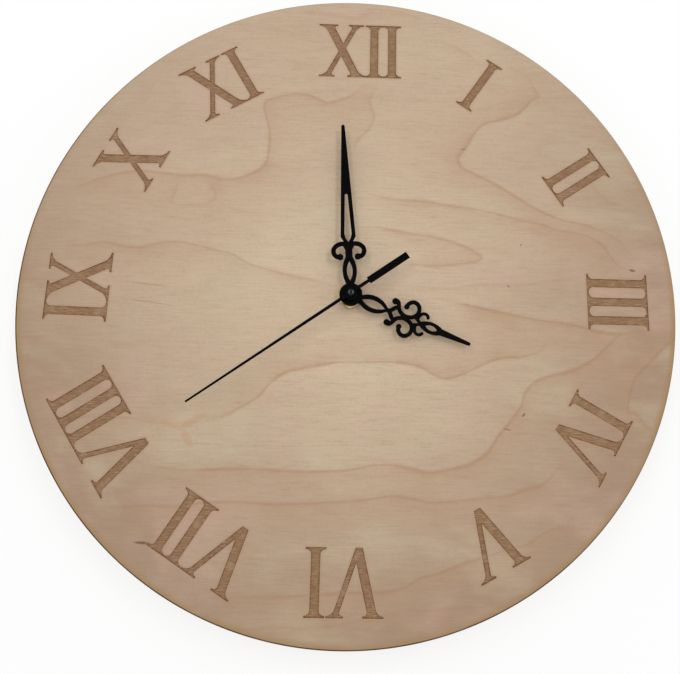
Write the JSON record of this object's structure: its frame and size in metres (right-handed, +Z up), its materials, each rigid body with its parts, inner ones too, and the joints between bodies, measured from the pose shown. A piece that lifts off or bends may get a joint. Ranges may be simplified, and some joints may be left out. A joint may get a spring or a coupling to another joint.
{
  "type": "wall clock",
  "caption": "Round plywood wall clock with engraved Roman numerals, ornate black hands and a battery movement behind the dial that hangs from a steel plate.",
  "frame": {"origin": "on the back face of the movement, on the axis of the hands", "axes": "+X to the right as seen from the front, +Y from the dial towards the wall, +Z up"},
  "size_m": [0.3, 0.0323, 0.3],
  "materials": {
    "dial_wood": "pale birch-faced plywood, sealed, satin",
    "brass": "plain brass, lightly tarnished",
    "stem_brass": "plain brass thread",
    "hand_black": "stamped sheet, satin black",
    "collet_black": "satin black",
    "rubber": "black rubber",
    "hanger_steel": "zinc-plated sheet",
    "case_plastic": "black moulded plastic, fine grain",
    "plate_plastic": "natural moulded plastic",
    "gear_plastic": "white acetal",
    "knob_plastic": "red moulded plastic",
    "board_laminate": "green circuit laminate",
    "chip_resin": "black resin drop",
    "crystal_steel": "bright can",
    "core_iron": "soft iron, plated",
    "bobbin_plastic": "natural moulded plastic",
    "copper_wire": "enamelled copper wire",
    "magnet": "dark sintered magnet",
    "arbor_steel": "polished steel",
    "contact_steel": "nickel-plated spring steel",
    "battery_sleeve": "plain grey printed film",
    "battery_steel": "nickel-plated steel"
  },
  "bodies": {
    "movement_case": {"dial_plate": "dial_wood", "hex_nut": "brass", "brass_washer": "brass", "stem_bush": "stem_brass", "rubber_washer": "rubber", "hanger_plate": "hanger_steel", "case_front": "case_plastic", "rear_cover": "case_plastic", "train_plate": "plate_plastic", "circuit_board": "board_laminate", "clock_chip": "chip_resin", "quartz_crystal": "crystal_steel", "coil_core": "core_iron", "coil_bobbin": "bobbin_plastic", "coil_winding": "copper_wire", "stator": "core_iron", "positive_contact": "contact_steel", "negative_contact": "contact_steel"},
    "seconds": {"seconds_arbor": "arbor_steel", "seconds_wheel": "gear_plastic", "second_hand": "hand_black", "second_collet": "collet_black"},
    "minutes": {"centre_wheel": "gear_plastic", "cannon_pinion": "gear_plastic", "minute_hand": "hand_black", "minute_collet": "collet_black"},
    "hours": {"hour_wheel": "gear_plastic", "hour_hand": "hand_black", "hour_collet": "collet_black"},
    "third": {"third_wheel": "gear_plastic"},
    "motion": {"motion_wheel": "gear_plastic"},
    "intermediate": {"intermediate_wheel": "gear_plastic"},
    "rotor": {"rotor_magnet": "magnet", "rotor_pinion": "gear_plastic"},
    "setting": {"setting_shaft": "gear_plastic", "setting_knob": "knob_plastic"},
    "battery": {"battery_can": "battery_steel", "battery_sleeve": "battery_sleeve", "battery_button": "battery_steel"}
  },
  "joints": [
    {"name": "seconds_spin", "type": "hinge", "parent": "movement_case", "child": "seconds", "pos_m": [0, 0, 0], "axis": [0, 1, 0], "continuous": true},
    {"name": "minute_spin", "type": "hinge", "parent": "movement_case", "child": "minutes", "pos_m": [0, 0, 0], "axis": [0, 1, 0], "continuous": true},
    {"name": "hour_spin", "type": "hinge", "parent": "movement_case", "child": "hours", "pos_m": [0, 0, 0], "axis": [0, 1, 0], "continuous": true},
    {"name": "third_spin", "type": "hinge", "parent": "movement_case", "child": "third", "pos_m": [-0.00736, 0, 0.00425], "axis": [0, 1, 0], "continuous": true},
    {"name": "motion_spin", "type": "hinge", "parent": "movement_case", "child": "motion", "pos_m": [-0.006, 0, 0.01039], "axis": [0, 1, 0], "continuous": true},
    {"name": "intermediate_spin", "type": "hinge", "parent": "movement_case", "child": "intermediate", "pos_m": [0.00818, 0, 0.00298], "axis": [0, 1, 0], "continuous": true},
    {"name": "rotor_spin", "type": "hinge", "parent": "movement_case", "child": "rotor", "pos_m": [0.01255, 0, 0.00818], "axis": [0, 1, 0], "continuous": true},
    {"name": "setting_spin", "type": "hinge", "parent": "movement_case", "child": "setting", "pos_m": [-0.01803, 0, 0.00601], "axis": [0, 1, 0], "continuous": true},
    {"name": "battery_slide", "type": "slide", "parent": "movement_case", "child": "battery", "axis": [0, 1, 0], "range_m": [0, 0.02]}
  ],
  "couplings": [
    {"joint": "minute_spin", "follows": "seconds_spin", "ratio": 0.016667},
    {"joint": "hour_spin", "follows": "seconds_spin", "ratio": 0.0013889},
    {"joint": "third_spin", "follows": "seconds_spin", "ratio": -0.13333},
    {"joint": "motion_spin", "follows": "seconds_spin", "ratio": -0.0041667},
    {"joint": "intermediate_spin", "follows": "seconds_spin", "ratio": -4},
    {"joint": "rotor_spin", "follows": "seconds_spin", "ratio": 30},
    {"joint": "setting_spin", "follows": "seconds_spin", "ratio": 0.0125}
  ]
}
